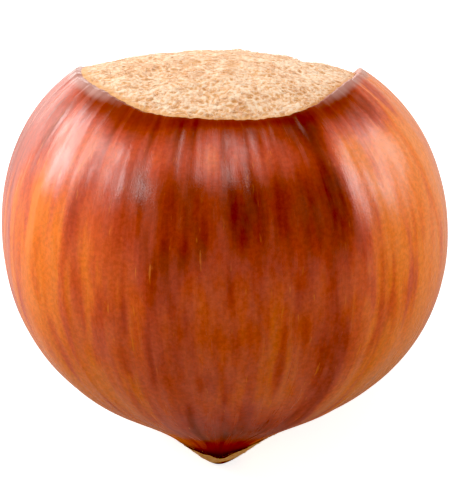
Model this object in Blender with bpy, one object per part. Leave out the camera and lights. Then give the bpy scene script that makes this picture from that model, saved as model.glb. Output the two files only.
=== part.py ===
"""A whole hazelnut in its shell, lying on a table.

The nut is one solid that grew as one piece: a broad belly, a crown cut off by the pale scar where the nut
sat in its husk, and a taper that runs down to a short point. It rests as such a nut does, on its tapered side
with the point low and the scar facing up and back.

The shape is worked out in the nut's own frame, with x to its right, y to its back and z from the point to
the scar, and is then laid down. Angles round the nut start at x and run towards y, so that its front is at
-90 degrees.
"""

import math

import bmesh
import bpy
import numpy as np
from mathutils import Matrix, Vector

MM = 0.001

# The belly and the taper below it
BELLY_RADIUS = 10.0 * MM
BELLY_HEIGHT = 10.93 * MM  # from the point to the widest place
DEPTH_SHARE = 0.94  # the nut is a little flat from front to back
TAPER_POWERS = (1.94, 2.16)  # across and along the nut; 2 and 2 is an ellipse
POINT_LENGTH = 1.8 * MM  # how far the point stands out of the rounded end
POINT_SPREAD = 2.08 * MM
POINT_POWER = 1.7  # 2 is a bell curve, less is sharper
SWAY = 0.33 * MM  # how far both ends of the nut's middle line lean to the left
SWAY_MIDDLE = 9.5 * MM  # the height at which they part

# The crown above the belly, and the scar that cuts it off
CROWN_HEIGHT = 8.62 * MM
CROWN_POWERS = (2.26, 2.09)
CROWN_SADDLE = 0.063  # the crown is higher at the sides than at the front and back
SCAR_RADIUS = 6.5 * MM
SCAR_SHIFT_BACK = 0.10  # how much further the scar reaches to the back, as a share of its radius
SCAR_SHIFT_LEFT = 0.03
SCAR_NARROWING = 0.045  # how much less it reaches to the sides
SCAR_WAVES = ((3, 0.008, 0.6), (7, 0.007, 2.0))  # waves of its outline: count, rise as a share, phase
SCAR_CENTRE_HEIGHT = 18.93 * MM
SCAR_DOME_POWER = 2.3  # how steeply the scar falls off towards its edge
NOTCH_ANGLE = 34.0  # degrees round the nut, where the crown's edge dips
NOTCH_HALF_WIDTH = 16.0  # degrees
NOTCH_DEPTH = 0.5 * MM
NOTCH_FADE = 12  # the power of the height share with which the dip dies out down the crown
LIP_WIDTH = 0.25 * MM  # the shell's rounded edge round the scar
LIP_DROP = 0.14 * MM  # how far the scar starts below that edge
LIP_DROP_MORE = 0.11 * MM  # how much further at the nut's right, and less at its left

# Relief: soft ridges that run from the point to the scar, finer ribs between them, and the scar's grain
RIDGE_ANGLES = (20.0, 66.0, 108.0, 139.0, 173.0, 212.0, 251.0, 303.0)  # degrees round the nut
RIDGE_HALF_WIDTH = 8.0  # degrees
RIDGE_RISE = 0.15 * MM
RIDGE_CALM = 0.7  # how much of the ridges' height is lost at the scar's edge
RIDGE_CALM_FADE = 6  # the power of the height share with which that loss sets in
RELIEF_START = 0.8  # where they have grown to their full height, as a share of the belly's radius
RELIEF_GROWTH = 1.5  # the power with which they grow from the point
RIB_COUNTS = (13, 17, 22, 27)
RIB_RISE = 0.05 * MM
GRAIN_RISE = 0.045 * MM
GRAIN_WAVES = 14
GRAIN_LENGTH = 2.2 * MM
GRAIN_START = 0.25  # where the grain has grown to its full height, as a share of the way to the scar's middle
GRAIN_FADE = 0.5  # where the grain starts to die out towards the scar's middle
FOLD_COUNT = 9  # soft folds that run out from the scar's middle
FOLD_RISE = 0.06 * MM
FOLD_TWIST = 1.5  # radians that a fold turns on its way in
SEED = 7

# How the nut lies
REST_TILT = 55.0  # degrees between the table and the line from the point to the scar
FLAT_DEPTH = 0.34 * MM  # how much the small flat spot that it rests on takes off the round side

# How finely the surface is divided
AROUND = 112
SHELL_ROWS = 37
LIP_ROWS = 2
SCAR_ROWS = 12

SHELL_COLOUR = (0.30, 0.075, 0.018, 1.0)
SHELL_ROUGHNESS = 0.38


def away_from(angle, degrees):
    """The angle's distance from a direction given in degrees, in radians between -pi and pi."""
    return np.angle(np.exp(1j * (angle - math.radians(degrees))))


def ridges(angle):
    """Rounded ridges at chosen angles: each is a bump of 1 / (1 + x squared), x counted in its half-widths.
    What they add all round is taken off again, so that the belly keeps its size."""
    half_width = math.radians(RIDGE_HALF_WIDTH)
    rise = np.full_like(angle, -0.5 * half_width * len(RIDGE_ANGLES))
    for ridge in RIDGE_ANGLES:
        rise += 1.0 / (1.0 + (away_from(angle, ridge) / half_width) ** 2)
    return RIDGE_RISE * rise


def ribs(angle, share):
    """Fine ribs: cosines of several counts round the nut, whose phases drift a little from point to scar."""
    draw = np.random.default_rng(SEED)
    rise = np.zeros_like(angle)
    for count in RIB_COUNTS:
        phase, drift = draw.uniform(0.0, 2.0 * math.pi), draw.uniform(-1.5, 1.5)
        rise += np.cos(count * angle + phase + drift * share)
    return RIB_RISE * rise / len(RIB_COUNTS)


def cork(x, y):
    """The scar's lumpy grain: a sum of plane waves in random directions, about a grain long."""
    draw = np.random.default_rng(SEED + 1)
    rise = np.zeros_like(x)
    for _ in range(GRAIN_WAVES):
        way, phase = draw.uniform(0.0, 2.0 * math.pi, 2)
        pitch = 2.0 * math.pi / (GRAIN_LENGTH * draw.uniform(0.7, 1.6))
        rise += np.sin(pitch * (x * math.cos(way) + y * math.sin(way)) + phase)
    return GRAIN_RISE * rise / math.sqrt(GRAIN_WAVES)


def folds(angle, share):
    """Soft folds of the scar that run out from its middle and are deepest halfway to its edge."""
    return FOLD_RISE * np.sin(math.pi * share) ** 2 * np.cos(FOLD_COUNT * angle + FOLD_TWIST * share)


def notch(angle, share):
    """A shallow dip of the crown's edge: a bell curve round the nut that dies out quickly below the edge."""
    across = away_from(angle, NOTCH_ANGLE) / math.radians(NOTCH_HALF_WIDTH)
    return NOTCH_DEPTH * np.exp(-(across**2)) * share**NOTCH_FADE


def rim_radius(angle):
    """The scar's outline: a circle, shifted to the back and left and narrowed, with a few shallow waves."""
    shift = SCAR_SHIFT_BACK * np.sin(angle) - SCAR_SHIFT_LEFT * np.cos(angle)
    waves = sum(rise * np.cos(count * angle + phase) for count, rise, phase in SCAR_WAVES)
    return SCAR_RADIUS * (1.0 + shift - SCAR_NARROWING * np.cos(2.0 * angle) + waves)


def shell_points(angle, share):
    """Points of the shell. Its outline is a quarter of a soft-cornered ellipse for the crown and another for
    the taper, with a bell curve added for the point. share is 0 at the point and 1 at the scar's rim."""
    rim_turn = np.arccos((rim_radius(angle) / BELLY_RADIUS) ** (CROWN_POWERS[0] / 2.0))
    turn = -math.pi / 2.0 + share * (rim_turn + math.pi / 2.0)
    across, along = np.abs(np.cos(turn)), np.abs(np.sin(turn))
    in_taper = turn < 0.0
    radius = BELLY_RADIUS * across ** np.where(in_taper, 2.0 / TAPER_POWERS[0], 2.0 / CROWN_POWERS[0])
    below = (BELLY_HEIGHT - POINT_LENGTH) * along ** (2.0 / TAPER_POWERS[1])
    below += POINT_LENGTH * np.exp(-((radius / POINT_SPREAD) ** POINT_POWER))
    above = CROWN_HEIGHT * (1.0 + CROWN_SADDLE * np.cos(2.0 * angle)) * along ** (2.0 / CROWN_POWERS[1])
    height = BELLY_HEIGHT + np.where(in_taper, -below, above)
    grown = np.clip(radius / (RELIEF_START * BELLY_RADIUS), 0.0, 1.0) ** RELIEF_GROWTH
    calmed = 1.0 - RIDGE_CALM * share**RIDGE_CALM_FADE
    relief = grown * calmed * (ridges(angle) + ribs(angle, share))
    radius = radius + relief * np.cos(turn)
    height = height + relief * np.sin(turn) - notch(angle, share)
    lean = SWAY * (height / SWAY_MIDDLE - 1.0) ** 2
    return np.stack([radius * np.cos(angle) - lean, DEPTH_SHARE * radius * np.sin(angle), height], axis=-1)


def lip_points(angle, share):
    """The shell's edge round the scar, a quarter round that turns in and down to where the scar starts."""
    rim = shell_points(angle, np.ones_like(share))
    inward = LIP_WIDTH * np.sin(share * math.pi / 2.0)
    down = (LIP_DROP + LIP_DROP_MORE * np.cos(angle)) * (1.0 - np.cos(share * math.pi / 2.0))
    return rim - np.stack([inward * np.cos(angle), inward * np.sin(angle), down], axis=-1)


def scar_points(angle, share):
    """The scar, a low dome of grainy, folded cork. share runs from 0 at the lip's foot to 1 at its middle."""
    foot = lip_points(angle, np.ones_like(share))
    middle = np.array([0.0, 0.0, SCAR_CENTRE_HEIGHT])
    points = foot + (middle - foot) * share[..., None]
    points[..., 2] = middle[2] + (foot[..., 2] - middle[2]) * (1.0 - share) ** SCAR_DOME_POWER
    grown = np.clip(share / GRAIN_START, 0.0, 1.0)
    grown *= np.clip((1.0 - share) / (1.0 - GRAIN_FADE), 0.0, 1.0) ** 2
    points[..., 2] += grown * cork(points[..., 0], points[..., 1]) + folds(angle, share)
    return points


def nut_points(angle, row):
    """The nut's surface in its own frame. Rows count from the point, up the shell, over the lip and to the
    middle of the scar."""
    in_lip, in_scar = row - SHELL_ROWS, row - SHELL_ROWS - LIP_ROWS
    shell = shell_points(angle, np.clip(row / SHELL_ROWS, 0.0, 1.0))
    lip = lip_points(angle, np.clip(in_lip / LIP_ROWS, 0.0, 1.0))
    scar = scar_points(angle, np.clip(in_scar / SCAR_ROWS, 0.0, 1.0))
    upper = np.where((in_scar > 0)[..., None], scar, lip)
    return np.where((in_lip > 0)[..., None], upper, shell)


def shape_nut(mesh):
    """Carries each vertex of a ball of rings to the nut's surface, by its ring and its angle."""
    rows = SHELL_ROWS + LIP_ROWS + SCAR_ROWS
    bmesh.ops.create_uvsphere(mesh, u_segments=AROUND, v_segments=rows, radius=1.0)
    ball = np.array([vertex.co for vertex in mesh.verts])
    row = np.round(np.arccos(np.clip(-ball[:, 2], -1.0, 1.0)) * rows / math.pi)
    points = nut_points(np.arctan2(ball[:, 1], ball[:, 0]), row)
    for vertex, point in zip(mesh.verts, points):
        vertex.co = point


def centre_of_mass(mesh):
    """The centre of the solid: the mean of the tetrahedra under its faces, weighed by volume."""
    total, moment = 0.0, Vector()
    for a, b, c in (tuple(loop.vert.co for loop in loops) for loops in mesh.calc_loop_triangles()):
        volume = a.dot(b.cross(c)) / 6.0
        total += volume
        moment += volume * (a + b + c) / 4.0
    return moment / total


def lay_down(mesh):
    """Tips the nut onto its tapered back and lowers it, so that its weight is over the origin and only the
    flat spot's depth lies under the table's level."""
    tip_over = Matrix.Rotation(math.radians(REST_TILT - 90.0), 4, "X")
    bmesh.ops.transform(mesh, matrix=tip_over, verts=mesh.verts)
    middle = centre_of_mass(mesh)
    lowest = min(vertex.co.z for vertex in mesh.verts)
    bmesh.ops.translate(mesh, vec=(-middle.x, -middle.y, -lowest - FLAT_DEPTH), verts=mesh.verts)


def cut_flat_spot(mesh):
    """Slices off what lies under the table's level and closes the cut with one flat face."""
    everything = mesh.verts[:] + mesh.edges[:] + mesh.faces[:]
    bmesh.ops.bisect_plane(mesh, geom=everything, plane_co=(0, 0, 0), plane_no=(0, 0, 1), clear_inner=True)
    rim = [edge for edge in mesh.edges if edge.is_boundary]
    bmesh.ops.contextual_create(mesh, geom=rim)
    bmesh.ops.recalc_face_normals(mesh, faces=mesh.faces)


def shell_material():
    material = bpy.data.materials.new("shell")
    material.use_nodes = True
    finish = material.node_tree.nodes["Principled BSDF"]
    finish.inputs["Base Color"].default_value = SHELL_COLOUR
    finish.inputs["Roughness"].default_value = SHELL_ROUGHNESS
    finish.inputs["Metallic"].default_value = 0.0
    return material


def main():
    for thing in list(bpy.data.objects):
        bpy.data.objects.remove(thing)
    mesh = bmesh.new()
    shape_nut(mesh)
    lay_down(mesh)
    cut_flat_spot(mesh)
    data = bpy.data.meshes.new("hazelnut")
    mesh.to_mesh(data)
    mesh.free()
    data.materials.append(shell_material())
    data.shade_smooth()
    data.set_sharp_from_angle(angle=math.radians(50.0))
    bpy.context.scene.collection.objects.link(bpy.data.objects.new("hazelnut", data))


main()
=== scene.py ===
"""A whole hazelnut in its shell, dressed over its solid.

Its pieces are a glossy streaked shell with a dull cap round the point, the corky scar where the nut sat in
its husk, the loose threads on that scar and the short fibres on the cap.

The nut's own frame has x to its right, y to its back and z from the point to the scar. Angles round the nut
start at x and run towards y, so its front is at 270 degrees. The nut lies on its tapered side in the frame
that is loaded. A share is the part of the way from the point to the scar's rim, unless a docstring says
otherwise.
"""

import math

import bpy
import numpy as np
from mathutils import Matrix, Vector


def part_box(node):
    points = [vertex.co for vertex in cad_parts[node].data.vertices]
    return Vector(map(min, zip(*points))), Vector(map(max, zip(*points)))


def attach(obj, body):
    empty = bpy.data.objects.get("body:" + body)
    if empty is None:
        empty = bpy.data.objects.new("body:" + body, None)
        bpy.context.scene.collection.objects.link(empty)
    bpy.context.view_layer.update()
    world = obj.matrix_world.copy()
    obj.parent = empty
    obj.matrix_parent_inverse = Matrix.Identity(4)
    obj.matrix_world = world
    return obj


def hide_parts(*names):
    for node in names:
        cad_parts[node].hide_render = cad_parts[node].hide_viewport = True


bl_info = {
    "name": "Hazelnut",
    "version": (1, 0, 0),
    "blender": (4, 5, 0),
    "location": "3D View > Sidebar > Hazelnut",
    "description": "Dresses a whole hazelnut with its shell, scar and fibres",
    "category": "Add Mesh",
}

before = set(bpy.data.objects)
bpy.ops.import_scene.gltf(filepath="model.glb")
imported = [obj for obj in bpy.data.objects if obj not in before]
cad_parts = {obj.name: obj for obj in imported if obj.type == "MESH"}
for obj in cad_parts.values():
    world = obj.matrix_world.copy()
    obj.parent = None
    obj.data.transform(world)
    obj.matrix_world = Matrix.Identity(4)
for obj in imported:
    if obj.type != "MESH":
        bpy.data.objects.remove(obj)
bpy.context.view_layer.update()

MM = 0.001

# The nut's form. Its solid has it too, but for the scar's bulges, part of the notch and the finest relief
BELLY_RADIUS = 10.0 * MM
BELLY_HEIGHT = 10.93 * MM  # from the point to the widest place
DEPTH_SHARE = 0.94  # the nut is a little flat from front to back
TAPER_POWERS = (1.94, 2.16)  # across and along the nut; 2 and 2 is an ellipse
POINT_LENGTH = 1.8 * MM  # how far the point stands out of the rounded end
POINT_SPREAD = 2.08 * MM
POINT_POWER = 1.7
SWAY = 0.33 * MM  # how far both ends of the nut's middle line lean to the left
SWAY_MIDDLE = 9.5 * MM  # the height at which they part
CROWN_HEIGHT = 8.62 * MM
CROWN_POWERS = (2.26, 2.09)
CROWN_SADDLE = 0.063  # the crown is higher at the sides than at the front and back
SCAR_RADIUS = 6.5 * MM
SCAR_SHIFT_BACK = 0.10  # how much further the scar reaches to the back, as a share of its radius
SCAR_SHIFT_LEFT = 0.03
SCAR_NARROWING = 0.045  # how much less it reaches to the sides
SCAR_BULGES = ((307.0, 25.0, 0.062), (6.0, 24.0, 0.042))  # middle and half-width in degrees, rise as a share
SCAR_WAVES = ((3, 0.008, 0.6), (7, 0.007, 2.0))  # waves of its outline: count, rise as a share, phase
SCAR_CENTRE_HEIGHT = 18.93 * MM
SCAR_DOME_POWER = 2.3  # how steeply the scar falls off towards its edge
NOTCH_ANGLE = 34.0  # degrees round the nut, where the crown's edge dips
NOTCH_HALF_WIDTH = 16.0  # degrees
NOTCH_DEPTH = 0.68 * MM
NOTCH_FADE = 12  # the power of the height share with which the dip dies out down the crown
LIP_WIDTH = 0.25 * MM  # the shell's rounded edge round the scar
LIP_DROP = 0.14 * MM  # how far the scar starts below that edge
LIP_DROP_MORE = 0.11 * MM  # how much further at the nut's right, and less at its left
RIDGE_ANGLES = (20.0, 66.0, 108.0, 139.0, 173.0, 212.0, 251.0, 303.0)  # degrees round the nut
RIDGE_HALF_WIDTH = 8.0  # degrees
RIDGE_RISE = 0.15 * MM
RIDGE_CALM = 0.7  # how much of the ridges' height is lost at the scar's edge
RIDGE_CALM_FADE = 6
RELIEF_START = 0.8  # where they have grown to their full height, as a share of the belly's radius
RELIEF_GROWTH = 1.5
RIB_COUNTS = (13, 17, 22, 27)
RIB_RISE = 0.05 * MM
FINE_RIB_COUNTS = range(33, 121, 4)
EDGE_COUNTS = (9, 23, 37, 52, 71, 97, 131)  # of the unevenness of the shell's edge
GRAIN_RISE = 0.045 * MM
GRAIN_WAVES = 14
GRAIN_LENGTH = 2.2 * MM
GRAIN_START = 0.25  # where it has grown to its full height, as a share of the way to the scar's middle
GRAIN_FADE = 0.5  # where it begins to fade
FOLD_COUNT = 9
FOLD_RISE = 0.06 * MM
FOLD_TWIST = 1.5
EDGE_FADE = 20  # the power of the height share with which the edge's unevenness dies out down the crown
FELT_COARSE = 0.46 * MM  # the lengths of the felt's coarse and fine waves and of its pits
FELT_FINE = 0.24 * MM
FELT_PITS = 0.40 * MM
FELT_SHARPNESS = 1.6
FELT_START = 0.015  # where it has grown to its full height, as a share of the way to the scar's middle
STAIN_LENGTH = 1.7 * MM
CAP_RIGHT = 0.45  # how much further the cap reaches at the nut's right, as a share
THREAD_STATIONS, THREAD_SIDES = 5, 3
THREAD_ARCH = 0.85  # how much of a half wave a thread's arch is
THREAD_TAPER = 0.85  # how much of its width it loses by its end
TAPER_SHARE = 0.70  # roughly how far up the way from point to scar the belly lies
SEED = 7
REST_TILT = 55.0  # degrees between the table and the line from the point to the scar

# How light the shell is, from 0 to 1 and over: degrees round the nut, lightness below the belly and above it
# These are partly the shell's own tones and partly painted light and shade: lighter at its right and left,
# where the lamps fall, and darker across its front.
TONES_WITH_PAINTED_LIGHT = (
    (20.0, 0.90, 1.05),
    (64.0, 0.66, 0.60),
    (68.0, 0.70, 0.46),
    (108.0, 0.64, 0.50),
    (139.0, 0.70, 0.56),
    (173.0, 0.82, 0.54),
    (212.0, 1.04, 0.65),
    (237.0, 0.82, 0.47),
    (249.0, 0.90, 0.58),
    (253.0, 0.84, 0.42),
    (277.0, 0.77, 0.35),
    (290.0, 0.73, 0.22),
    (301.0, 0.70, 0.00),
    (305.0, 0.78, 0.50),
    (312.0, 0.92, 0.88),
    (322.0, 1.02, 0.98),
    (345.0, 1.12, 1.25),
)
TONE_CHANGE = (0.58, 0.81)  # the shares between which the lower lightness gives way to the upper one
TONE_CHANGE_LEFT = (0.16, 0.06)  # how much later both come at the left
TONE_LEFT = (206.0, 20.0)  # the middle and half-width of that left, in degrees

# What is added to that lightness near the scar: how much, the middle and half-width in degrees of a bell
# curve round the nut, and the shares between which it comes in
# The lighter stretch across the front is partly a painted sheen; the darker parts along the scar's edge at
# the front, right and front-left are painted shade.
CROWN_SHEEN_AND_SHADE = (
    (0.40, 278.0, 42.0, 0.82, 0.90),
    (-0.42, 278.0, 42.0, 0.90, 0.99),
    (-0.74, 326.0, 22.0, 0.84, 0.965),
    (-0.28, 232.0, 20.0, 0.88, 0.98),
)

# What is added towards the point: how much all round, how much more in the bell curve, its middle and its
# half-width, and the shares between which both go out
POINT_TONES = (
    (0.20, -0.20, 272.0, 30.0, 0.32, 0.54),
    (-0.02, -0.36, 274.0, 22.0, 0.22, 0.40),
)

# Where the dark band along the scar is broader, as painted shade: middle and half-width in degrees, and how
# much, as a share
SHADE_BULGES = ((228.0, 24.0, 1.8), (318.0, 17.0, 1.3))

# How finely the pieces are divided
SHELL_AROUND, SHELL_ROWS, LIP_ROWS = 560, 156, 10
SCAR_AROUND, SCAR_ROWS = 560, 150

# The photograph's view: its height and focal length in pixels, how far the camera looks down, in degrees, and
# the point of the nut's own frame that it looks at
PHOTO_HEIGHT = 500.0
PHOTO_FOCAL_PIXELS = 4460.0
CAMERA_ELEVATION = 51.0
SENSOR_WIDTH = 36.0  # millimetres
VIEW_MIDDLE = (-0.045 * MM, 0.025 * MM, 10.09 * MM)

# Each light: the way to it from the nut, its distance, width and height, and what it points at, from the nut
AT_NUT = (0.0, 0.0, 0.0)
LIGHTS = {
    "key": ((-0.84, 0.49, 0.25), 0.26, 0.155, 0.12, AT_NUT),
    "upper": ((-0.73, 0.17, 0.68), 0.26, 0.13, 0.065, AT_NUT),
    "side": ((0.88, 0.40, 0.25), 0.26, 0.15, 0.14, AT_NUT),
    "top": ((0.03, 0.24, 0.97), 0.26, 0.03, 0.16, AT_NUT),
    "paper": ((-0.42, 0.85, 0.30), 0.070, 0.06, 0.07, (-0.032, 0.070, -0.009)),
}


def away_from(angle, degrees):
    """The angle's distance from a direction given in degrees, in radians between -pi and pi."""
    return np.angle(np.exp(1j * (angle - math.radians(degrees))))


def bell(angle, middle, half_width):
    """A bell curve round the nut, e to the minus x squared, x counted in half-widths; both in degrees."""
    return np.exp(-((away_from(angle, middle) / math.radians(half_width)) ** 2))


def bells(angle, shapes):
    """A sum of bell curves round the nut, each given by its middle, its half-width and its height."""
    return sum(height * bell(angle, middle, half_width) for middle, half_width, height in shapes)


def soft_step(value, start, end):
    """0 below start and 1 above end, with the smooth curve 3 t squared less 2 t cubed between them."""
    t = np.clip((value - start) / (end - start), 0.0, 1.0)
    return t * t * (3.0 - 2.0 * t)


def plane_waves(x, y, length, count, seed):
    """A lumpy surface: a sum of plane waves in random directions, about a length long, of unit height."""
    draw = np.random.default_rng(seed)
    rise = np.zeros_like(x)
    for _ in range(count):
        way, phase = draw.uniform(0.0, 2.0 * math.pi, 2)
        pitch = 2.0 * math.pi / (length * draw.uniform(0.7, 1.6))
        rise += np.sin(pitch * (x * math.cos(way) + y * math.sin(way)) + phase)
    return rise / math.sqrt(count)


def ridges(angle):
    """The solid's rounded ridges: each is a bump of 1 / (1 + x squared), x counted in its half-widths, less
    what they add all round."""
    half_width = math.radians(RIDGE_HALF_WIDTH)
    rise = np.full_like(angle, -0.5 * half_width * len(RIDGE_ANGLES))
    for ridge in RIDGE_ANGLES:
        rise += 1.0 / (1.0 + (away_from(angle, ridge) / half_width) ** 2)
    return RIDGE_RISE * rise


def ribs(angle, share):
    """The solid's ribs: cosines of several counts round the nut, whose phases drift from point to scar."""
    draw = np.random.default_rng(SEED)
    rise = np.zeros_like(angle)
    for count in RIB_COUNTS:
        phase, drift = draw.uniform(0.0, 2.0 * math.pi), draw.uniform(-1.5, 1.5)
        rise += np.cos(count * angle + phase + drift * share)
    return RIB_RISE * rise / len(RIB_COUNTS)


def fine_ribs(angle, share, rise):
    """Narrow ribs that come and go: cosines of high counts round the nut, each swelling and fading a few
    times on the way from point to scar. Each is as high as the root of 60 over its count."""
    draw = np.random.default_rng(SEED + 2)
    total = np.zeros_like(angle)
    for count in FINE_RIB_COUNTS:
        phase, swell_phase = draw.uniform(0.0, 2.0 * math.pi, 2)
        drift, swells = draw.uniform(-3.0, 3.0), draw.uniform(0.8, 3.0)
        wander = 2.0 * np.sin(3.0 * angle + phase)
        swell = 0.5 + 0.5 * np.sin(2.0 * math.pi * swells * share + swell_phase + wander)
        total += swell * np.cos(count * angle + phase + drift * share) * math.sqrt(60.0 / count)
    return rise * total / math.sqrt(len(FINE_RIB_COUNTS))


def shell_tone_with_painted_light(angle, share):
    """How light the shell is, its own tones with painted light and shade: drawn in straight lines between the
    given angles, once for below the belly and once for above it, with a soft change between them that comes
    later at the left; the table is lighter at the right and left, where the lamps fall, and darker across the
    front. Near the scar its front is lighter for a stretch, partly a painted sheen, and darker at the very
    edge, and its right and left are darker, which is painted shade; towards the point its sides are lighter
    and its front is darker. Those are bell curves round the nut."""
    stops, lower, upper = np.array(TONES_WITH_PAINTED_LIGHT).T
    later = bell(angle, *TONE_LEFT)
    start, end = (limit + delay * later for limit, delay in zip(TONE_CHANGE, TONE_CHANGE_LEFT))
    above = soft_step(share, start, end)
    degrees = np.degrees(angle)
    tone = np.interp(degrees, stops, lower, period=360.0) * (1.0 - above)
    tone += np.interp(degrees, stops, upper, period=360.0) * above
    for change, middle, half_width, start, end in CROWN_SHEEN_AND_SHADE:
        tone += change * bell(angle, middle, half_width) * soft_step(share, start, end)
    for change, bell_change, middle, half_width, start, end in POINT_TONES:
        below = 1.0 - soft_step(share, start, end)
        tone += (change + bell_change * bell(angle, middle, half_width)) * below
    return tone


def notch(angle, share):
    """A shallow dip of the crown's edge: a bell curve round the nut that dies out quickly below the edge."""
    return NOTCH_DEPTH * bell(angle, NOTCH_ANGLE, NOTCH_HALF_WIDTH) * share**NOTCH_FADE


def rim_radius(angle):
    """The scar's outline: a circle that is shifted to the back and left and narrowed, with a few shallow
    waves, and bulges at its front right and right that are bell curves."""
    shift = SCAR_SHIFT_BACK * np.sin(angle) - SCAR_SHIFT_LEFT * np.cos(angle)
    waves = sum(rise * np.cos(count * angle + phase) for count, rise, phase in SCAR_WAVES)
    narrowed = 1.0 + shift - SCAR_NARROWING * np.cos(2.0 * angle)
    return SCAR_RADIUS * (narrowed + waves + bells(angle, SCAR_BULGES))


def edge_waves(angle):
    """How uneven the shell's edge round the scar is: cosines of several counts round the nut, each as high as
    the root of 20 over its count and 9."""
    draw = np.random.default_rng(SEED + 9)
    phases = draw.uniform(0.0, 2.0 * math.pi, len(EDGE_COUNTS))
    waves = zip(EDGE_COUNTS, phases)
    return sum(np.cos(count * angle + phase) * (20.0 / (count + 9.0)) ** 0.5 for count, phase in waves)


def shell_points(angle, share, rib_rise=0.0, edge_rise=0.0):
    """Points of the shell. Its outline is a quarter of a soft-cornered ellipse for the crown and another for
    the taper, with a bell curve added for the point, and the ridges and ribs stand out from it."""
    rim_turn = np.arccos((rim_radius(angle) / BELLY_RADIUS) ** (CROWN_POWERS[0] / 2.0))
    turn = -math.pi / 2.0 + share * (rim_turn + math.pi / 2.0)
    across, along = np.abs(np.cos(turn)), np.abs(np.sin(turn))
    in_taper = turn < 0.0
    radius = BELLY_RADIUS * across ** np.where(in_taper, 2.0 / TAPER_POWERS[0], 2.0 / CROWN_POWERS[0])
    below = (BELLY_HEIGHT - POINT_LENGTH) * along ** (2.0 / TAPER_POWERS[1])
    below += POINT_LENGTH * np.exp(-((radius / POINT_SPREAD) ** POINT_POWER))
    above = CROWN_HEIGHT * (1.0 + CROWN_SADDLE * np.cos(2.0 * angle)) * along ** (2.0 / CROWN_POWERS[1])
    height = BELLY_HEIGHT + np.where(in_taper, -below, above)
    grown = np.clip(radius / (RELIEF_START * BELLY_RADIUS), 0.0, 1.0) ** RELIEF_GROWTH
    calmed = 1.0 - RIDGE_CALM * share**RIDGE_CALM_FADE
    relief = grown * calmed * (ridges(angle) + ribs(angle, share))
    if rib_rise:
        relief += grown * fine_ribs(angle, share, rib_rise)
    radius = radius + relief * np.cos(turn)
    height = height + relief * np.sin(turn) - notch(angle, share)
    if edge_rise:
        height += edge_rise * edge_waves(angle) * share**EDGE_FADE
    lean = SWAY * (height / SWAY_MIDDLE - 1.0) ** 2
    return np.stack([radius * np.cos(angle) - lean, DEPTH_SHARE * radius * np.sin(angle), height], axis=-1)


def lip_points(angle, share, rib_rise=0.0, edge_rise=0.0):
    """The shell's edge round the scar, a quarter round that turns in and down to where the scar starts,
    further down at the nut's right. share runs from 0 at the rim to 1 at the scar's foot."""
    rim = shell_points(angle, np.ones_like(share), rib_rise, edge_rise)
    inward = LIP_WIDTH * np.sin(share * math.pi / 2.0)
    down = (LIP_DROP + LIP_DROP_MORE * np.cos(angle)) * (1.0 - np.cos(share * math.pi / 2.0))
    return rim - np.stack([inward * np.cos(angle), inward * np.sin(angle), down], axis=-1)


def felt(x, y):
    """The scar's felt: threads lie where a lumpy surface passes through zero, at two sizes, and pits where a
    third one is low. Returns its height, from about -1 to 1."""
    coarse = 1.0 - FELT_SHARPNESS * np.abs(plane_waves(x, y, FELT_COARSE, 40, SEED + 3))
    fine = 1.0 - FELT_SHARPNESS * np.abs(plane_waves(x, y, FELT_FINE, 48, SEED + 4))
    pits = soft_step(-plane_waves(x, y, FELT_PITS, 36, SEED + 5), 1.0, 1.9)
    return 0.55 * coarse + 0.35 * fine - 0.5 * pits


def scar_points(angle, share, felt_rise=0.0, edge_rise=0.0):
    """The scar, a low dome of grainy, folded cork: it rises by a power of the way to its middle, and waves
    and cosines round the nut are added. share runs from 0 at the lip's foot to 1 at the dome's middle."""
    foot = lip_points(angle, np.ones_like(share), 0.0, edge_rise)
    middle = np.array([0.0, 0.0, SCAR_CENTRE_HEIGHT])
    points = foot + (middle - foot) * share[..., None]
    points[..., 2] = middle[2] + (foot[..., 2] - middle[2]) * (1.0 - share) ** SCAR_DOME_POWER
    grown = np.clip(share / GRAIN_START, 0.0, 1.0)
    grown = grown * np.clip((1.0 - share) / (1.0 - GRAIN_FADE), 0.0, 1.0) ** 2
    grain = GRAIN_RISE * plane_waves(points[..., 0], points[..., 1], GRAIN_LENGTH, GRAIN_WAVES, SEED + 1)
    folds = FOLD_RISE * np.sin(math.pi * share) ** 2 * np.cos(FOLD_COUNT * angle + FOLD_TWIST * share)
    rise = felt_rise * felt(points[..., 0], points[..., 1]) * soft_step(share, 0.0, FELT_START)
    points[..., 2] += grown * grain + folds + rise
    return points


def laid(points):
    """Turns points of the nut's own frame to how it lies, without moving them into its solid."""
    turn = math.radians(REST_TILT - 90.0)
    x, y, z = points[..., 0], points[..., 1], points[..., 2]
    back, up = y * math.cos(turn) - z * math.sin(turn), y * math.sin(turn) + z * math.cos(turn)
    return np.stack([x, back, up], axis=-1)


def resting_place():
    """How far the laid nut is moved to lie in its solid: their boxes share their middles and their tops."""
    angle, share = np.meshgrid(np.linspace(0.0, 2.0 * math.pi, 113), np.linspace(0.0, 1.0, 38))
    form = laid(shell_points(angle, share)).reshape(-1, 3)
    low, high = (np.array(corner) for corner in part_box("hazelnut"))
    place = 0.5 * (low + high) - 0.5 * (form.min(axis=0) + form.max(axis=0))
    place[2] = high[2] - max(form[:, 2].max(), laid(scar_points(angle, share))[..., 2].max())
    return place


PLACE = resting_place()


def rested(points):
    """Points of the nut's own frame as it rests: laid, moved into its solid, and flat where it meets the
    table."""
    moved = laid(points) + PLACE
    moved[..., 2] = np.maximum(moved[..., 2], 0.0)
    return moved


def round_grid(around, rows):
    """Angles round the nut and shares from 0 to 1, each as a grid with a row for each share."""
    return np.meshgrid(np.arange(around) * 2.0 * math.pi / around, np.linspace(0.0, 1.0, rows + 1))


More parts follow.
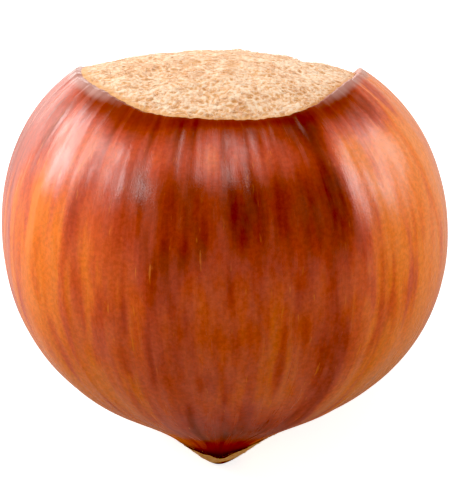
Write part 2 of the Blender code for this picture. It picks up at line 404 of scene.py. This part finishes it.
def ring_mesh(name, points, fields, closed_first, closed_last):
    """A mesh of rings: rows of points round the nut, joined to the next row by quads, with a fan of triangles
    at each end that is closed. fields holds a value or vector for each point, by attribute name."""
    rows, around = points.shape[:2]
    spots = np.arange(rows * around).reshape(rows, around)
    nearby = np.roll(spots, -1, axis=1)
    quads = np.stack([spots[:-1], nearby[:-1], nearby[1:], spots[1:]], axis=-1)
    quads = quads[int(closed_first) : rows - 1 - int(closed_last)].reshape(-1, 4)
    fans = []
    if closed_first:
        fans.append(np.stack([np.zeros(around, int), nearby[1], spots[1]], axis=-1))
    if closed_last:
        fans.append(np.stack([spots[-2], nearby[-2], np.full(around, spots[-1, 0])], axis=-1))
    faces = quads.tolist() + [fan for part in fans for fan in part.tolist()]
    return mesh_piece(name, points.reshape(-1, 3), faces, fields)


def mesh_piece(name, points, faces, fields):
    """Puts points, faces and attributes into a smooth mesh object, without the points that no face uses."""
    used = np.zeros(len(points), bool)
    used[np.fromiter((spot for face in faces for spot in face), int)] = True
    number = np.cumsum(used) - 1
    faces = [[int(number[spot]) for spot in face] for face in faces]
    data = bpy.data.meshes.new(name)
    data.from_pydata(points[used].tolist(), [], faces)
    for field, values in fields.items():
        flat = values.reshape(len(points), -1)[used]
        kind, entry = ("FLOAT", "value") if flat.shape[1] == 1 else ("FLOAT_VECTOR", "vector")
        attribute = data.attributes.new(field, kind, "POINT")
        attribute.data.foreach_set(entry, flat.astype(np.float32).ravel())
    data.shade_smooth()
    piece = bpy.data.objects.new(name, data)
    bpy.context.scene.collection.objects.link(piece)
    return piece


def arc_lengths(points):
    """How far each row of points lies from the first, along the surface."""
    steps = np.linalg.norm(np.diff(points, axis=0), axis=-1)
    return np.concatenate([np.zeros((1, points.shape[1])), np.cumsum(steps, axis=0)])


def threads(roots, ways, ups, lengths, widths, lifts):
    """Tapered threads, each a three-sided tube along a shallow arch: it leaves its root in its way, rises by
    its lift along a sine and comes down again. Returns their points and faces."""
    t = np.linspace(0.0, 1.0, THREAD_STATIONS)
    along = roots[:, None] + ways[:, None] * (lengths[:, None] * t)[..., None]
    along += ups[:, None] * (lifts[:, None] * np.sin(math.pi * THREAD_ARCH * t))[..., None]
    aside = np.cross(ways, ups)
    corner = 2.0 * math.pi * np.arange(THREAD_SIDES) / THREAD_SIDES
    ring = aside[:, None] * np.cos(corner)[:, None] + ups[:, None] * np.sin(corner)[:, None]
    thick = widths[:, None] * (1.0 - THREAD_TAPER * t) * 0.5
    points = along[:, :, None] + ring[:, None] * thick[..., None, None]
    spots = np.arange(points[..., 0].size).reshape(points.shape[:3])
    nearby = np.roll(spots, -1, axis=2)
    walls = np.stack([spots[:, :-1], spots[:, 1:], nearby[:, 1:], nearby[:, :-1]], axis=-1).reshape(-1, 4)
    ends = np.concatenate([spots[:, 0], spots[:, -1, ::-1]])
    return points.reshape(-1, 3), walls.tolist() + ends.tolist()


def surface_at(surface, angle, share):
    """Points of a surface, its outward direction and the direction in which share grows, by small steps."""
    step = 1e-3
    here = surface(angle, share)
    round_way = surface(angle + step, share) - here
    up_way = surface(angle, share + step) - here
    out = np.cross(round_way, up_way)
    out /= np.linalg.norm(out, axis=-1, keepdims=True)
    up_way /= np.linalg.norm(up_way, axis=-1, keepdims=True)
    return here, out, up_way


def turned_way(up_way, out, turn):
    """The direction on the surface that lies a turn away from up_way."""
    aside = np.cross(out, up_way)
    return up_way * np.cos(turn)[:, None] + aside * np.sin(turn)[:, None]


class Board:
    """A material's nodes, made one after another and joined by what each is given."""

    def __init__(self, name):
        self.material = bpy.data.materials.new(name)
        self.material.use_nodes = True
        self.nodes = self.material.node_tree.nodes
        self.links = self.material.node_tree.links
        self.finish = self.nodes["Principled BSDF"]

    def add(self, kind, settings=None, **given):
        """Adds a node. settings are its own choices; given are its inputs, by name or as _index."""
        made = self.nodes.new(kind)
        for setting, value in (settings or {}).items():
            setattr(made, setting, value)
        for socket, value in given.items():
            key = int(socket[1:]) if socket[0] == "_" else socket.replace("_", " ")
            self.give(made.inputs[key], value)
        return made

    def give(self, socket, value):
        if isinstance(value, bpy.types.NodeSocket):
            self.links.new(value, socket)
        else:
            socket.default_value = value

    def field(self, name, output="Fac"):
        """What the piece holds under this name at each point."""
        return self.add("ShaderNodeAttribute", {"attribute_name": name}).outputs[output]

    def place(self):
        return self.add("ShaderNodeTexCoord").outputs["Object"]

    def noise(self, vector, scale, detail=2.0, roughness=0.5, distortion=0.0):
        made = self.add(
            "ShaderNodeTexNoise", Vector=vector, Scale=scale, Detail=detail, Roughness=roughness,
            Distortion=distortion,
        )
        return made.outputs["Fac"]

    def stretched(self, grain, along, shift=(0.0, 0.0, 0.0)):
        """The grain with its run from point to scar scaled by along, so that patterns are long that way."""
        scale = (1.0, 1.0, along)
        return self.add("ShaderNodeMapping", Vector=grain, Scale=scale, Location=shift).outputs["Vector"]

    def ramp(self, factor, stops):
        """A colour ramp; stops are (place, colour) from low to high."""
        made = self.add("ShaderNodeValToRGB", Fac=factor)
        points = made.color_ramp.elements
        while len(points) < len(stops):
            points.new(0.5)
        for point, (place, colour) in zip(points, stops):
            point.position = place
            point.color = rgba(colour)
        return made.outputs["Color"]

    def between(self, value, start, end, low=0.0, high=1.0):
        """low up to start and high from end on, with a smooth step between them."""
        made = self.add("ShaderNodeMapRange", {"interpolation_type": "SMOOTHSTEP"}, Value=value)
        for socket, limit in zip(("From Min", "From Max", "To Min", "To Max"), (start, end, low, high)):
            made.inputs[socket].default_value = limit
        return made.outputs["Result"]

    def math(self, operation, first, second=0.0):
        return self.add("ShaderNodeMath", {"operation": operation}, _0=first, _1=second).outputs["Value"]

    def product(self, first, *others):
        for other in others:
            first = self.math("MULTIPLY", first, other)
        return first

    def uneven(self, value, pattern, strength):
        """The value plus the pattern, which counts from its middle of a half, times the strength."""
        return self.math("ADD", value, self.product(self.math("SUBTRACT", pattern, 0.5), strength))

    def mix(self, factor, first, second, blend="MIX"):
        """Mixes two colours, which the node has as its inputs 6 and 7 and gives out as its output 2."""
        made = self.add("ShaderNodeMix", {"data_type": "RGBA", "blend_type": blend}, _0=factor)
        self.give(made.inputs[6], first)
        self.give(made.inputs[7], second)
        return made.outputs[2]

    def bump(self, height, distance, strength=1.0, under=None):
        made = self.add("ShaderNodeBump", Height=height, Distance=distance, Strength=strength)
        if under:
            self.give(made.inputs["Normal"], under)
        return made.outputs["Normal"]


def cap_reach(angle, choices):
    """How far the fibre cap reaches from the nut's middle line: least at the front, and more at the sides and
    back, by one less the squared sine of the angle, most at the nut's right."""
    in_front = np.clip(-np.sin(angle), 0.0, 1.0)
    return choices.cap_front + choices.cap_side * (1.0 - in_front**2) * (1.0 + CAP_RIGHT * np.cos(angle))


def rgba(colour):
    return (*colour, 1.0)


def streaked_shell(board, colours, grain, streaks, speckle):
    """The shell's colour, its own tones with the painted light and shade that its tone field holds: panels,
    streaks and fibres are added to its lightness and dark dashes are taken off it, a ramp of browns gives
    that lightness its colour, and golden dashes lie over it where it isn't dark."""
    # tone holds painted light and shade besides the shell's own tones: lighter at its right and left, darker
    # across its front and along the scar
    ground = board.field("tone")
    panels = board.noise(board.stretched(grain, 0.20), 0.20, 1.0)
    fibres = board.noise(board.stretched(grain, 0.05, (0.0, 7.0, 0.0)), 4.2, 3.0, 0.65)
    dashes = board.noise(board.stretched(grain, 0.22, (1.0, 17.0, 0.0)), 1.15, 1.0)
    tone = board.uneven(ground, panels, 0.6)
    tone = board.uneven(tone, streaks, 0.70)
    tone = board.uneven(tone, fibres, 0.22)
    tone = board.math("SUBTRACT", tone, board.between(dashes, 0.46, 0.76, 0.0, 0.24))
    # light and pale are reached mostly at the nut's right and left, where the tone holds painted light
    shades = (
        (0.0, colours.dark), (0.35, colours.brown), (0.6, colours.middle),
        (0.8, colours.warm), (1.0, colours.light), (1.3, colours.pale),
    )
    fit = 0.6  # brings levels over 1 into the ramp
    colour = board.ramp(board.product(tone, fit), [(fit * level, shade) for level, shade in shades])
    mottle = board.between(speckle, 0.3, 0.7, 0.89, 1.09)
    grey = board.add("ShaderNodeCombineColor", _0=mottle, _1=mottle, _2=mottle).outputs[0]
    colour = board.mix(1.0, colour, grey, "MULTIPLY")
    gold = board.noise(board.stretched(grain, 0.22, (11.0, 5.0, 0.0)), 4.6)
    where_light = board.between(ground, 0.3, 0.75, 0.25, 1.0)
    golden = board.product(board.between(gold, 0.66, 0.76, 0.0, 0.45), where_light)
    return board.mix(golden, colour, rgba(colours.gold))


def shell_zones(board, colours, colour, streaks):
    """The darker zone over the point, then the dark band along the scar, partly painted shade, and the pale
    band of painted reflection along the scar at the nut's right and left. Each is given by its attribute, how
    ragged its edge is, where it starts and is full, how much it covers and its colour."""
    zones = (
        ("near_point", 0.5, 0.52, 1.05, 0.90, colours.point),
        # the dark band along the scar, partly painted shade
        ("near_edge", 0.9, 0.15, 1.00, 0.62, colours.edge),
        # a painted reflection of the pale surroundings along the scar at the nut's right and left
        ("pale_edge", 0.8, 0.25, 1.00, 0.80, colours.painted_sheen),
    )
    for field, raggedness, start, end, strength, shade in zones:
        reach = board.uneven(board.field(field), streaks, raggedness)
        colour = board.mix(board.between(reach, start, end, 0.0, strength), colour, rgba(shade))
    return colour


def shell_cap(board, colours, colour, cap, cap_share, speckle):
    """The dull tan cap with a dark line round it, and the nib in its middle."""
    colour = board.mix(board.between(cap, -0.75, -0.05, 0.0, 0.9), colour, rgba(colours.cap_edge))
    colour = board.mix(cap_share, colour, board.ramp(speckle, [(0.3, colours.cap_dark), (0.6, colours.cap)]))
    nib = board.between(board.field("from_point"), 0.66, 0.80, 1.0, 0.0)
    return board.mix(nib, colour, rgba(colours.nib))


def shell_shine(board, grain):
    """How strongly the shell mirrors: in patches along the grain, and less near the point, where it is pale,
    along the scar and low on the taper."""
    patches = board.noise(board.stretched(grain, 0.40, (5.0, 0.0, 9.0)), 1.3, 3.0, 0.6)
    return board.product(
        board.between(patches, 0.35, 0.65, 0.34, 0.70),
        board.between(board.field("near_point"), 0.0, 0.5, 1.0, 0.05),
        board.between(board.field("tone"), 0.82, 1.05, 1.0, 0.5),
        board.between(board.field("near_edge"), 0.1, 0.8, 1.0, 0.3),
        board.between(board.field("height"), 0.20, 0.44, 0.2, 1.0),
    )


def shell_relief(board, grain, place, speckle):
    """Fine lines along the grain, with specks and grit over them."""
    lines = board.noise(board.stretched(grain, 0.04, (2.0, 2.0, 0.0)), 7.5, 3.0, 0.7)
    normal = board.bump(lines, 0.035 * MM, 0.1)
    normal = board.bump(speckle, 0.012 * MM, 0.1, normal)
    return board.bump(board.noise(place, 12000.0, 1.0), 0.008 * MM, 0.4, normal)


def shell_finish(colours):
    """Red-brown shell, satin with glossy patches, whose marks run from point to scar along its grain, and its
    dull cap."""
    board = Board("shell")
    grain = board.field("grain", "Vector")
    place = board.place()
    streaks = board.noise(board.stretched(grain, 0.13, (3.0, 0.0, 0.0)), 0.85, 3.0, 0.6)
    speckle = board.noise(place, 5200.0, 2.0, 0.6)
    cap = board.uneven(board.field("cap"), board.noise(place, 1300.0, 3.0), 0.7)
    cap_share = board.between(cap, 0.0, 0.09)
    colour = streaked_shell(board, colours, grain, streaks, speckle)
    colour = shell_zones(board, colours, colour, streaks)
    colour = shell_cap(board, colours, colour, cap, cap_share, speckle)
    board.give(board.finish.inputs["Base Color"], colour)
    satin = board.between(streaks, 0.3, 0.7, 0.21, 0.30)
    rough = board.add("ShaderNodeMix", {"data_type": "FLOAT"}, _0=cap_share, _2=satin, _3=0.85).outputs[0]
    board.give(board.finish.inputs["Roughness"], rough)
    board.give(board.finish.inputs["Specular IOR Level"], shell_shine(board, grain))
    board.give(board.finish.inputs["Normal"], shell_relief(board, grain, place, speckle))
    board.finish.inputs["IOR"].default_value = 1.5
    board.finish.inputs["Coat Weight"].default_value = 0.08
    board.finish.inputs["Coat Roughness"].default_value = 0.28
    return board.material


def scar_finish(colours):
    """Cream cork: pale threads over tan ground, with darker pits, partly painted shade, stained patches and a
    warm border.
    """
    board = Board("scar")
    place = board.place()
    fuzz = board.noise(place, 6500.0, 3.0, 0.6, 0.4)
    blotch = board.noise(place, 420.0, 3.0, 0.6)
    # the felt's height darkens the pits and troughs and lightens the threads: partly painted shade in the
    # hollows
    tone = board.math("ADD", board.product(board.field("felt"), 0.22), board.product(fuzz, 0.95))
    tone = board.uneven(tone, blotch, 0.35)
    colour = board.ramp(
        board.between(tone, 0.14, 0.70),
        [(0.0, colours.pit), (0.35, colours.tan), (0.68, colours.cream), (1.0, colours.thread)],
    )
    stained = board.uneven(board.field("stain"), fuzz, 0.9)
    colour = board.mix(board.between(stained, 0.40, 1.05, 0.0, 0.75), colour, rgba(colours.stain))
    border = board.uneven(board.field("near_edge"), fuzz, 2.4)
    colour = board.mix(board.between(border, 0.25, 0.9, 0.0, 0.7), colour, rgba(colours.border))
    board.give(board.finish.inputs["Base Color"], colour)
    board.give(board.finish.inputs["Normal"], board.bump(fuzz, 0.06 * MM, 0.7))
    board.finish.inputs["Roughness"].default_value = 0.9
    board.finish.inputs["Sheen Weight"].default_value = 0.25
    board.finish.inputs["Sheen Roughness"].default_value = 0.6
    return board.material


def thread_finish(name, colour, darker):
    """Dull plant fibre, a little darker in places."""
    board = Board(name)
    patchy = board.noise(board.place(), 900.0)
    board.give(board.finish.inputs["Base Color"], board.ramp(patchy, [(0.3, darker), (0.7, colour)]))
    board.finish.inputs["Roughness"].default_value = 0.75
    board.finish.inputs["Sheen Weight"].default_value = 0.3
    return board.material


def colour_choice(name, description, default):
    return bpy.props.FloatVectorProperty(
        name=name, description=description, subtype="COLOR", size=3, min=0.0, max=1.0, default=default
    )


def length_choice(name, description, default):
    return bpy.props.FloatProperty(
        name=name, description=description, unit="LENGTH", subtype="DISTANCE", min=0.0, precision=5,
        default=default,
    )


def power_choice(name, description, default):
    return bpy.props.FloatProperty(name=name, description=description, unit="POWER", min=0.0, default=default)


def level_choice(name, description, default, least=0.0):
    return bpy.props.FloatProperty(name=name, description=description, min=least, default=default)


def count_choice(name, description, default):
    return bpy.props.IntProperty(name=name, description=description, min=0, max=4000, default=default)


class ShellChoices(bpy.types.PropertyGroup):
    """Sizes and colours of the shell."""

    rib_rise: length_choice("Rib rise", "Height of the narrow ribs along the shell", 0.008 * MM)
    edge_rise: length_choice("Edge rise", "Unevenness of the shell's edge round the scar", 0.014 * MM)
    edge_width: length_choice("Edge width", "Width of the darker band along the scar", 0.8 * MM)
    # the width of that painted reflection along the scar
    painted_sheen_width: length_choice("Film width", "Width of the pale film along the scar at both sides", 0.85 * MM)
    point_reach: length_choice("Dark point reach", "How far up the dark zone reaches", 5.5 * MM)
    cap_front: length_choice("Cap reach in front", "Radius of the cap at the front", 1.28 * MM)
    cap_side: length_choice("Cap reach at sides", "What the cap gains at the sides and back", 1.25 * MM)
    dark: colour_choice("Dark", "The darkest brown of the streaks", (0.18, 0.018, 0.003))
    brown: colour_choice("Brown", "The deep red-brown of the crown", (0.37, 0.045, 0.008))
    middle: colour_choice("Middle", "The common red-brown", (0.56, 0.080, 0.032))
    warm: colour_choice("Warm", "The warmer orange-brown", (0.74, 0.130, 0.041))
    light: colour_choice("Light", "The lightest orange streaks", (0.93, 0.220, 0.042))
    # reached at the nut's right, where the tone holds painted light
    pale: colour_choice("Pale", "The palest orange at the sides", (1.0, 0.31, 0.075))
    gold: colour_choice("Gold", "Golden dashes", (0.95, 0.28, 0.045))
    point: colour_choice("Point", "The dark zone over the point", (0.22, 0.034, 0.012))
    # the dark band's colour, which also paints shade where the band bulges
    edge: colour_choice("Edge", "The dark band along the scar", (0.19, 0.028, 0.006))
    # Painted reflection: the pale sheen along the scar at the nut's right and left
    painted_sheen: colour_choice("Film", "The pale film along the scar", (0.54, 0.29, 0.24))
    cap: colour_choice("Cap", "The fibre cap", (1.0, 0.57, 0.24))
    cap_dark: colour_choice("Cap shade", "Darker spots of the cap", (0.84, 0.40, 0.14))
    cap_edge: colour_choice("Cap edge", "The dark line round the cap", (0.06, 0.006, 0.002))
    nib: colour_choice("Nib", "The very point", (0.22, 0.03, 0.012))


class ScarChoices(bpy.types.PropertyGroup):
    """Sizes and colours of the scar and its threads."""

    felt_rise: length_choice("Felt rise", "Height of the felted threads and pits", 0.026 * MM)
    border_width: length_choice("Border width", "Width of the warm border", 0.27 * MM)
    thread_count: count_choice("Threads", "Loose threads on the scar", 3000)
    thread_length: length_choice("Thread length", "Mean length of a loose thread", 0.42 * MM)
    thread_width: length_choice("Thread width", "Width of a loose thread", 0.026 * MM)
    # the darkest cork, which the felt's pits get partly as painted shade
    pit: colour_choice("Pit", "Bottoms of the pits", (0.68, 0.31, 0.10))
    tan: colour_choice("Tan", "The ground between the threads", (0.80, 0.42, 0.17))
    cream: colour_choice("Cream", "The common pale cork", (0.93, 0.57, 0.32))
    thread: colour_choice("Thread", "The palest threads", (1.0, 0.78, 0.56))
    stain: colour_choice("Stain", "Stained patches", (0.74, 0.33, 0.09))
    border: colour_choice("Border", "The warm border", (0.80, 0.36, 0.09))


class CapChoices(bpy.types.PropertyGroup):
    """Sizes of the fibres round the point."""

    fibre_count: count_choice("Fibres", "Short fibres of the cap", 300)
    fibre_length: length_choice("Fibre length", "Mean length of a fibre", 0.22 * MM)
    fibre_width: length_choice("Fibre width", "Width of a fibre", 0.018 * MM)


class StageChoices(bpy.types.PropertyGroup):
    """The floor, the light and the camera."""

    floor_size: length_choice("Floor size", "Side of the square floor", 3.0)
    floor: colour_choice("Floor", "Colour of the floor", (0.90, 0.895, 0.885))
    floor_bounce: colour_choice("Floor bounce", "The floor as the nut mirrors it", (0.51, 0.50, 0.49))
    floor_glow: level_choice("Floor glow", "Light that shows through the floor", 0.72)
    world: level_choice("World light", "Strength of the light from all round", 0.45)
    world_colour: colour_choice("World colour", "Colour of the light from all round", (1.0, 0.985, 0.965))
    black_level: level_choice("Black level", "The light that is shown as black", 0.03)
    white_level: level_choice("White level", "The light that is shown as white", 0.93, 0.1)
    key: power_choice("Key light", "Power of the light low at the left", 0.42)
    upper: power_choice("Upper light", "Power of the light high at the left", 0.158)
    side: power_choice("Side light", "Power of the light at the right", 0.29)
    top: power_choice("Top light", "Power of the light overhead", 0.065)
    paper: power_choice("Paper light", "Power of the light on the floor behind the nut's left", 0.07)
    camera_distance: length_choice("Camera distance", "From the camera to the nut", 0.2)


def shell_fields(points, angle, share, choices):
    """What the shell's finish reads at each point: its lightness, with painted light and shade, its place on
    a cylinder that its grain is drawn on, and how near it is to the point, the scar and the cap's rim. The
    dark band along the scar, the shell's own darker border, is broadened with painted shade at the front-left
    and right, and is faint at the sides, where the painted reflection is."""
    along = arc_lengths(points)
    from_rim = along - along[SHELL_ROWS]
    radius = np.hypot(points[..., 0], points[..., 1] / DEPTH_SHARE)
    belly = BELLY_RADIUS / MM
    # the band's bulges at the front-left and right are painted shade
    band = choices.edge_width * (1.0 + bells(angle, SHADE_BULGES))
    off_sides = np.abs(np.sin(angle))  # 0 at the nut's right and left, 1 at its front and back
    return {
        # partly the shell's own tones, partly painted light and shade
        "tone": shell_tone_with_painted_light(angle, share),
        "grain": np.stack([belly * np.cos(angle), belly * np.sin(angle), along / MM], axis=-1),
        "near_point": 1.0 - soft_step(along, 0.2 * choices.point_reach, choices.point_reach),
        # the dark band: the shell's own darker border, broader where painted shade is added
        "near_edge": soft_step(from_rim, -band, 0.0) * (0.15 + 0.85 * soft_step(off_sides, 0.15, 0.5)),
        # a painted reflection along the scar, at the nut's right and left only
        "pale_edge": soft_step(from_rim, -choices.painted_sheen_width, 0.0) * (1.0 - soft_step(off_sides, 0.45, 0.95)),
        "cap": (cap_reach(angle, choices) - radius) / MM,
        "from_point": radius / MM,
        "height": share,
    }


class HAZELNUT_OT_shell(bpy.types.Operator):
    """Makes the shell, from the point up to the rounded edge round the scar"""

    bl_idname = "hazelnut.shell"
    bl_label = "Shell"

    def execute(self, context):
        choices = context.scene.hazelnut_shell
        angle, share = round_grid(SHELL_AROUND, SHELL_ROWS)
        shell = shell_points(angle, share, choices.rib_rise, choices.edge_rise)
        lip_angle, lip_share = (grid[1:] for grid in round_grid(SHELL_AROUND, LIP_ROWS))
        lip = lip_points(lip_angle, lip_share, choices.rib_rise, choices.edge_rise)
        points = np.concatenate([shell, lip])
        angle = np.concatenate([angle, lip_angle])
        share = np.concatenate([share, np.ones_like(lip_share)])
        piece = ring_mesh("shell", rested(points), shell_fields(points, angle, share, choices), True, False)
        piece.data.materials.append(shell_finish(choices))
        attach(piece, "root")
        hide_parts("hazelnut")
        return {"FINISHED"}


def scar_fields(points, share, choices):
    """What the scar's finish reads at each point: its felt's height, how near it is to the scar's edge, and
    how stained it is, which is more towards the middle and in patches."""
    x, y = points[..., 0], points[..., 1]
    along = arc_lengths(points)
    patches = plane_waves(x, y, STAIN_LENGTH, 14, SEED + 10)
    in_patches = soft_step(patches, 0.3, 1.6) * soft_step(share, 0.2, 0.6)
    return {
        "felt": felt(x, y),
        "near_edge": 1.0 - soft_step(along, 0.3 * choices.border_width, 1.7 * choices.border_width),
        "stain": 0.5 * soft_step(share, 0.35, 0.80) + 0.5 * in_patches,
    }


class HAZELNUT_OT_scar(bpy.types.Operator):
    """Makes the corky scar, from under the shell's edge to its middle"""

    bl_idname = "hazelnut.scar"
    bl_label = "Scar"

    def execute(self, context):
        choices = context.scene.hazelnut_scar
        angle, share = round_grid(SCAR_AROUND, SCAR_ROWS)
        points = scar_points(angle, share, choices.felt_rise, context.scene.hazelnut_shell.edge_rise)
        piece = ring_mesh("scar", rested(points), scar_fields(points, share, choices), False, True)
        piece.data.materials.append(scar_finish(choices))
        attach(piece, "root")
        return {"FINISHED"}


class HAZELNUT_OT_scar_threads(bpy.types.Operator):
    """Scatters loose threads over the scar, lying almost flat on it"""

    bl_idname = "hazelnut.scar_threads"
    bl_label = "Scar threads"

    def execute(self, context):
        choices = context.scene.hazelnut_scar
        draw = np.random.default_rng(SEED + 6)
        count = choices.thread_count
        angle = draw.uniform(0.0, 2.0 * math.pi, count)
        share = 1.0 - np.sqrt(draw.uniform(0.0, 0.94, count))  # even over the scar, with none at its rim
        roots, outs, ups = surface_at(scar_points, angle, share)
        turns = draw.normal(0.0, 1.1, count)
        turns = turns + math.pi * (draw.uniform(size=count) < 0.5)
        ways = turned_way(ups, outs, turns)
        lengths = choices.thread_length * draw.uniform(0.5, 1.5, count)
        widths = choices.thread_width * draw.uniform(0.6, 1.3, count)
        lifts = choices.felt_rise * draw.uniform(0.6, 2.6, count)
        points, faces = threads(roots, ways, outs, lengths, widths, lifts)
        piece = mesh_piece("scar_threads", rested(points), faces, {})
        piece.data.materials.append(thread_finish("scar_threads", choices.thread, choices.cream))
        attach(piece, "root")
        return {"FINISHED"}


class HAZELNUT_OT_cap_fibres(bpy.types.Operator):
    """Lays short fibres over the cap round the point"""

    bl_idname = "hazelnut.cap_fibres"
    bl_label = "Cap fibres"

    def execute(self, context):
        choices, shell = context.scene.hazelnut_cap, context.scene.hazelnut_shell
        draw = np.random.default_rng(SEED + 8)
        count = choices.fibre_count
        angle = draw.uniform(0.0, 2.0 * math.pi, count)
        wanted = cap_reach(angle, shell) * np.sqrt(draw.uniform(0.12, 1.0, count))  # even, off the nib
        turn = np.arcsin(np.clip(wanted / BELLY_RADIUS, 0.0, 1.0) ** (TAPER_POWERS[0] / 2.0))
        share = 2.0 / math.pi * turn * TAPER_SHARE
        roots, outs, ups = surface_at(shell_points, angle, share)
        ways = turned_way(ups, outs, draw.normal(0.0, 0.35, count))
        lengths = choices.fibre_length * draw.uniform(0.5, 1.4, count)
        widths = choices.fibre_width * draw.uniform(0.6, 1.3, count)
        lifts = widths * draw.uniform(0.5, 2.0, count)
        points, faces = threads(roots, ways, outs, lengths, widths, lifts)
        piece = mesh_piece("cap_fibres", rested(points), faces, {})
        piece.data.materials.append(thread_finish("cap_fibres", shell.cap, shell.cap_dark))
        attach(piece, "root")
        return {"FINISHED"}


def area_light(name, power, width, height, place, target):
    """A flat light at place, a point in metres, turned to target."""
    data = bpy.data.lights.new(name, "AREA")
    data.shape = "RECTANGLE"
    data.energy = power
    data.size = width
    data.size_y = height
    light = bpy.data.objects.new(name, data)
    light.location = place
    light.rotation_euler = (target - place).to_track_quat("-Z", "Y").to_euler()
    bpy.context.scene.collection.objects.link(light)


def studio_world(choices):
    """Dim light from all round."""
    world = bpy.data.worlds.new("studio")
    world.use_nodes = True
    background = world.node_tree.nodes["Background"]
    background.inputs["Color"].default_value = rgba(choices.world_colour)
    background.inputs["Strength"].default_value = choices.world
    return world


def floor_finish(choices):
    """White paper, lit from below where it is seen and duller where the nut mirrors it."""
    board = Board("floor")
    seen = board.add("ShaderNodeLightPath").outputs["Is Camera Ray"]
    colour = board.mix(seen, rgba(choices.floor_bounce), rgba(choices.floor))
    board.give(board.finish.inputs["Base Color"], colour)
    board.give(board.finish.inputs["Emission Strength"], board.product(seen, choices.floor_glow))
    board.finish.inputs["Emission Color"].default_value = rgba(choices.floor)
    board.finish.inputs["Roughness"].default_value = 0.8
    board.finish.inputs["Specular IOR Level"].default_value = 0.0
    return board.material


def floor_sheet(choices):
    """The floor, a square of one face under the nut."""
    half = 0.5 * choices.floor_size
    corners = [(-half, -half, 0.0), (half, -half, 0.0), (half, half, 0.0), (-half, half, 0.0)]
    data = bpy.data.meshes.new("floor")
    data.from_pydata(corners, [], [(0, 1, 2, 3)])
    data.materials.append(floor_finish(choices))
    floor = bpy.data.objects.new("floor", data)
    bpy.context.scene.collection.objects.link(floor)
    return floor


def photo_camera(middle, distance):
    """A camera that looks down at middle from the front, as the photograph does. Its lens is to the sensor as
    the focal length in pixels is to the picture's height."""
    lens = bpy.data.cameras.new("camera")
    lens.sensor_width = SENSOR_WIDTH
    lens.lens = SENSOR_WIDTH * PHOTO_FOCAL_PIXELS / PHOTO_HEIGHT
    lens.clip_start = 0.01
    lens.clip_end = 10.0
    camera = bpy.data.objects.new("camera", lens)
    slope = math.radians(CAMERA_ELEVATION)
    back = Vector((0.0, -math.cos(slope), math.sin(slope)))
    camera.location = middle + distance * back
    camera.rotation_euler = back.to_track_quat("Z", "Y").to_euler()
    bpy.context.scene.collection.objects.link(camera)
    return camera


def tone_curve(scene, choices):
    """Shows the picture with a deeper black and a nearer white than the scene has."""
    scene.view_settings.view_transform = "Standard"
    scene.view_settings.use_curve_mapping = True
    curve = scene.view_settings.curve_mapping
    curve.black_level = (choices.black_level,) * 3
    curve.white_level = (choices.white_level,) * 3
    curve.update()


class HAZELNUT_OT_stage(bpy.types.Operator):
    """Makes the pale floor, the soft lights and the camera"""

    bl_idname = "hazelnut.stage"
    bl_label = "Floor, lights and camera"

    def execute(self, context):
        scene, choices = context.scene, context.scene.hazelnut_stage
        floor_sheet(choices)
        scene.world = studio_world(choices)
        tone_curve(scene, choices)
        middle = Vector(rested(np.array(VIEW_MIDDLE)))
        for name, (way, distance, width, height, aim) in LIGHTS.items():
            place = middle + distance * Vector(way).normalized()
            area_light(name, getattr(choices, name), width, height, place, middle + Vector(aim))
        scene.camera = photo_camera(middle, choices.camera_distance)
        return {"FINISHED"}


OPERATORS = (
    HAZELNUT_OT_shell,
    HAZELNUT_OT_scar,
    HAZELNUT_OT_scar_threads,
    HAZELNUT_OT_cap_fibres,
    HAZELNUT_OT_stage,
)
CHOICES = {
    "hazelnut_shell": ShellChoices,
    "hazelnut_scar": ScarChoices,
    "hazelnut_cap": CapChoices,
    "hazelnut_stage": StageChoices,
}


class HAZELNUT_PT_pieces(bpy.types.Panel):
    """Lists the pieces with the sizes and colours that can be changed"""

    bl_idname = "HAZELNUT_PT_pieces"
    bl_label = "Hazelnut"
    bl_space_type = "VIEW_3D"
    bl_region_type = "UI"
    bl_category = "Hazelnut"

    def draw(self, context):
        for operator in OPERATORS:
            self.layout.operator(operator.bl_idname)
        for name, group in CHOICES.items():
            box = self.layout.box()
            for choice in group.__annotations__:
                box.prop(getattr(context.scene, name), choice)


CLASSES = (*CHOICES.values(), *OPERATORS, HAZELNUT_PT_pieces)


def register():
    for entry in CLASSES:
        bpy.utils.register_class(entry)
    for name, group in CHOICES.items():
        setattr(bpy.types.Scene, name, bpy.props.PointerProperty(type=group))


def unregister():
    for name in CHOICES:
        delattr(bpy.types.Scene, name)
    for entry in reversed(CLASSES):
        bpy.utils.unregister_class(entry)


def main():
    register()
    bpy.ops.hazelnut.shell()
    bpy.ops.hazelnut.scar()
    bpy.ops.hazelnut.scar_threads()
    bpy.ops.hazelnut.cap_fibres()
    bpy.ops.hazelnut.stage()


if __name__ == "__main__":
    main()
